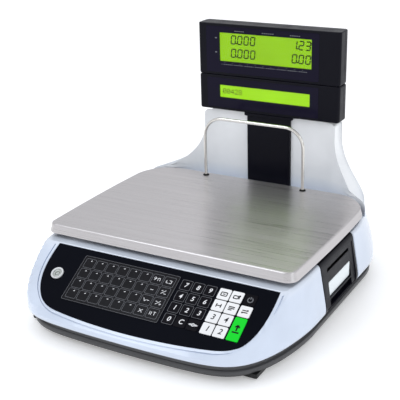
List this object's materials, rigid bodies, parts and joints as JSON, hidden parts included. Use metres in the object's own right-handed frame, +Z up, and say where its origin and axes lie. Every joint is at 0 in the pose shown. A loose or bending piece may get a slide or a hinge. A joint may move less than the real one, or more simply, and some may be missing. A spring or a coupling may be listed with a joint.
{
  "type": "retail price scale",
  "caption": "Label-printing counter scale with a stainless platter, sloped membrane keypad, side printer cassette and a pole display.",
  "frame": {"origin": "centre of the footprint, on the surface the feet stand on", "axes": "+Z up, +X to the operator's right, +Y away from the operator, towards the display"},
  "size_m": [0.4, 0.4619, 0.3445],
  "materials": {
    "white_case": "gloss moulded ABS",
    "black_plastic": "fine-grained black ABS",
    "grey_plastic": "textured dark grey ABS",
    "keypad_film": "satin black polyester film",
    "preset_film": "clear satin film over a printed black card",
    "black_key": "satin black key zone",
    "white_key": "satin white key zone",
    "green_key": "satin green key zone",
    "vial_plastic": "white ring and clear acrylic vial",
    "circuit_board": "green solder mask",
    "cast_aluminium": "as-cast and machined",
    "zinc_steel": "zinc-plated sheet",
    "brushed_stainless": "brushed stainless, grain across the width",
    "stainless_wire": "bright drawn stainless wire",
    "clear_window": "clear acrylic window",
    "lcd_glow": "backlit yellow-green liquid crystal panel",
    "label_paper": "matt white label stock",
    "platen_rubber": "ground silicone rubber",
    "foot_rubber": "moulded rubber"
  },
  "bodies": {
    "base": {"base_tray": "grey_plastic", "upper_case": "white_case", "rear_cover": "white_case", "power_inlet": "black_plastic", "keypad_overlay": "keypad_film", "preset_key_sheet": "preset_film", "keypad_board": "circuit_board", "level_vial": "vial_plastic", "load_cell": "cast_aluminium", "main_board": "circuit_board", "power_supply": "zinc_steel", "pole": "black_plastic", "pole_bracket": "zinc_steel", "lower_head_front": "black_plastic", "lower_head_rear": "black_plastic", "upper_head_front": "black_plastic", "upper_head_rear": "black_plastic", "upper_window": "clear_window", "lower_window": "clear_window", "customer_window": "clear_window", "upper_lcd": "lcd_glow", "lower_lcd": "lcd_glow", "customer_lcd": "lcd_glow"},
    "weigh_platform": {"spider": "cast_aluminium"},
    "platter": {"platter": "brushed_stainless", "guard_wire": "stainless_wire"},
    "cassette": {"cassette_bezel": "black_plastic", "label_card": "label_paper", "cassette_chassis": "zinc_steel"},
    "label_roll": {"label_roll": "label_paper"},
    "platen": {"platen_roller": "platen_rubber"},
    "take_up": {"take_up_spool": "grey_plastic"},
    "print_head": {"print_head": "cast_aluminium"},
    "key_7": {"key_7": "black_key"},
    "key_8": {"key_8": "black_key"},
    "key_9": {"key_9": "black_key"},
    "key_4": {"key_4": "black_key"},
    "key_5": {"key_5": "black_key"},
    "key_6": {"key_6": "black_key"},
    "key_1": {"key_1": "black_key"},
    "key_2": {"key_2": "black_key"},
    "key_3": {"key_3": "black_key"},
    "key_0": {"key_0": "black_key"},
    "key_clear": {"key_clear": "black_key"},
    "key_zero_tare": {"key_zero_tare": "black_key"},
    "key_label": {"key_label": "white_key"},
    "key_feed": {"key_feed": "white_key"},
    "key_fix": {"key_fix": "white_key"},
    "key_lookup": {"key_lookup": "white_key"},
    "key_clerk_3": {"key_clerk_3": "white_key"},
    "key_clerk_4": {"key_clerk_4": "white_key"},
    "key_clerk_1": {"key_clerk_1": "white_key"},
    "key_clerk_2": {"key_clerk_2": "white_key"},
    "key_power": {"key_power": "black_key"},
    "key_change": {"key_change": "white_key"},
    "key_print": {"key_print": "green_key"},
    "foot_front_left": {"foot_front_left": "foot_rubber"},
    "foot_front_right": {"foot_front_right": "foot_rubber"},
    "foot_rear_left": {"foot_rear_left": "foot_rubber"},
    "foot_rear_right": {"foot_rear_right": "foot_rubber"}
  },
  "joints": [
    {"name": "key_7_press", "type": "slide", "parent": "base", "child": "key_7", "axis": [0, 0.5, -0.866], "range_m": [0, 0.0005], "stiffness_N_per_m": 2500, "springref_m": -0.0002},
    {"name": "key_8_press", "type": "slide", "parent": "base", "child": "key_8", "axis": [0, 0.5, -0.866], "range_m": [0, 0.0005], "stiffness_N_per_m": 2500, "springref_m": -0.0002},
    {"name": "key_9_press", "type": "slide", "parent": "base", "child": "key_9", "axis": [0, 0.5, -0.866], "range_m": [0, 0.0005], "stiffness_N_per_m": 2500, "springref_m": -0.0002},
    {"name": "key_4_press", "type": "slide", "parent": "base", "child": "key_4", "axis": [0, 0.5, -0.866], "range_m": [0, 0.0005], "stiffness_N_per_m": 2500, "springref_m": -0.0002},
    {"name": "key_5_press", "type": "slide", "parent": "base", "child": "key_5", "axis": [0, 0.5, -0.866], "range_m": [0, 0.0005], "stiffness_N_per_m": 2500, "springref_m": -0.0002},
    {"name": "key_6_press", "type": "slide", "parent": "base", "child": "key_6", "axis": [0, 0.5, -0.866], "range_m": [0, 0.0005], "stiffness_N_per_m": 2500, "springref_m": -0.0002},
    {"name": "key_1_press", "type": "slide", "parent": "base", "child": "key_1", "axis": [0, 0.5, -0.866], "range_m": [0, 0.0005], "stiffness_N_per_m": 2500, "springref_m": -0.0002},
    {"name": "key_2_press", "type": "slide", "parent": "base", "child": "key_2", "axis": [0, 0.5, -0.866], "range_m": [0, 0.0005], "stiffness_N_per_m": 2500, "springref_m": -0.0002},
    {"name": "key_3_press", "type": "slide", "parent": "base", "child": "key_3", "axis": [0, 0.5, -0.866], "range_m": [0, 0.0005], "stiffness_N_per_m": 2500, "springref_m": -0.0002},
    {"name": "key_0_press", "type": "slide", "parent": "base", "child": "key_0", "axis": [0, 0.5, -0.866], "range_m": [0, 0.0005], "stiffness_N_per_m": 2500, "springref_m": -0.0002},
    {"name": "key_clear_press", "type": "slide", "parent": "base", "child": "key_clear", "axis": [0, 0.5, -0.866], "range_m": [0, 0.0005], "stiffness_N_per_m": 2500, "springref_m": -0.0002},
    {"name": "key_zero_tare_press", "type": "slide", "parent": "base", "child": "key_zero_tare", "axis": [0, 0.5, -0.866], "range_m": [0, 0.0005], "stiffness_N_per_m": 2500, "springref_m": -0.0002},
    {"name": "key_label_press", "type": "slide", "parent": "base", "child": "key_label", "axis": [0, 0.5, -0.866], "range_m": [0, 0.0005], "stiffness_N_per_m": 2500, "springref_m": -0.0002},
    {"name": "key_feed_press", "type": "slide", "parent": "base", "child": "key_feed", "axis": [0, 0.5, -0.866], "range_m": [0, 0.0005], "stiffness_N_per_m": 2500, "springref_m": -0.0002},
    {"name": "key_fix_press", "type": "slide", "parent": "base", "child": "key_fix", "axis": [0, 0.5, -0.866], "range_m": [0, 0.0005], "stiffness_N_per_m": 2500, "springref_m": -0.0002},
    {"name": "key_lookup_press", "type": "slide", "parent": "base", "child": "key_lookup", "axis": [0, 0.5, -0.866], "range_m": [0, 0.0005], "stiffness_N_per_m": 2500, "springref_m": -0.0002},
    {"name": "key_clerk_3_press", "type": "slide", "parent": "base", "child": "key_clerk_3", "axis": [0, 0.5, -0.866], "range_m": [0, 0.0005], "stiffness_N_per_m": 2500, "springref_m": -0.0002},
    {"name": "key_clerk_4_press", "type": "slide", "parent": "base", "child": "key_clerk_4", "axis": [0, 0.5, -0.866], "range_m": [0, 0.0005], "stiffness_N_per_m": 2500, "springref_m": -0.0002},
    {"name": "key_clerk_1_press", "type": "slide", "parent": "base", "child": "key_clerk_1", "axis": [0, 0.5, -0.866], "range_m": [0, 0.0005], "stiffness_N_per_m": 2500, "springref_m": -0.0002},
    {"name": "key_clerk_2_press", "type": "slide", "parent": "base", "child": "key_clerk_2", "axis": [0, 0.5, -0.866], "range_m": [0, 0.0005], "stiffness_N_per_m": 2500, "springref_m": -0.0002},
    {"name": "key_power_press", "type": "slide", "parent": "base", "child": "key_power", "axis": [0, 0.5, -0.866], "range_m": [0, 0.0005], "stiffness_N_per_m": 2500, "springref_m": -0.0002},
    {"name": "key_change_press", "type": "slide", "parent": "base", "child": "key_change", "axis": [0, 0.5, -0.866], "range_m": [0, 0.0005], "stiffness_N_per_m": 2500, "springref_m": -0.0002},
    {"name": "key_print_press", "type": "slide", "parent": "base", "child": "key_print", "axis": [0, 0.5, -0.866], "range_m": [0, 0.0005], "stiffness_N_per_m": 2500, "springref_m": -0.0002},
    {"name": "weigh_deflection", "type": "slide", "parent": "base", "child": "weigh_platform", "axis": [0, 0, -1], "range_m": [0, 0.0005], "stiffness_N_per_m": 60000, "springref_m": -0.001},
    {"name": "platter_lift_off", "type": "slide", "parent": "weigh_platform", "child": "platter", "axis": [0, 0, 1], "range_m": [0, 0.08]},
    {"name": "cassette_slide", "type": "slide", "parent": "base", "child": "cassette", "axis": [1, 0, 0], "range_m": [0, 0.11]},
    {"name": "label_roll_spin", "type": "hinge", "parent": "cassette", "child": "label_roll", "pos_m": [0.127, 0.0145, 0.0595], "axis": [0, 1, 0], "continuous": true},
    {"name": "platen_spin", "type": "hinge", "parent": "cassette", "child": "platen", "pos_m": [0.167, 0.0145, 0.066], "axis": [0, 1, 0], "continuous": true},
    {"name": "take_up_spin", "type": "hinge", "parent": "cassette", "child": "take_up", "pos_m": [0.16, 0.0145, 0.038], "axis": [0, 1, 0], "continuous": true},
    {"name": "print_head_lift", "type": "hinge", "parent": "cassette", "child": "print_head", "pos_m": [0.1535, 0.0145, 0.0823], "axis": [0, -1, 0], "range_deg": [0, 10], "stiffness_Nm_per_rad": 0.8, "springref_deg": -17.19},
    {"name": "foot_front_left_level", "type": "slide", "parent": "base", "child": "foot_front_left", "axis": [0, 0, 1], "range_m": [-0.004, 0.002]},
    {"name": "foot_front_right_level", "type": "slide", "parent": "base", "child": "foot_front_right", "axis": [0, 0, 1], "range_m": [-0.004, 0.002]},
    {"name": "foot_rear_left_level", "type": "slide", "parent": "base", "child": "foot_rear_left", "axis": [0, 0, 1], "range_m": [-0.004, 0.002]},
    {"name": "foot_rear_right_level", "type": "slide", "parent": "base", "child": "foot_rear_right", "axis": [0, 0, 1], "range_m": [-0.004, 0.002]}
  ],
  "couplings": [
    {"joint": "platen_spin", "follows": "label_roll_spin", "ratio": 4.8333},
    {"joint": "take_up_spin", "follows": "label_roll_spin", "ratio": 5.8}
  ]
}
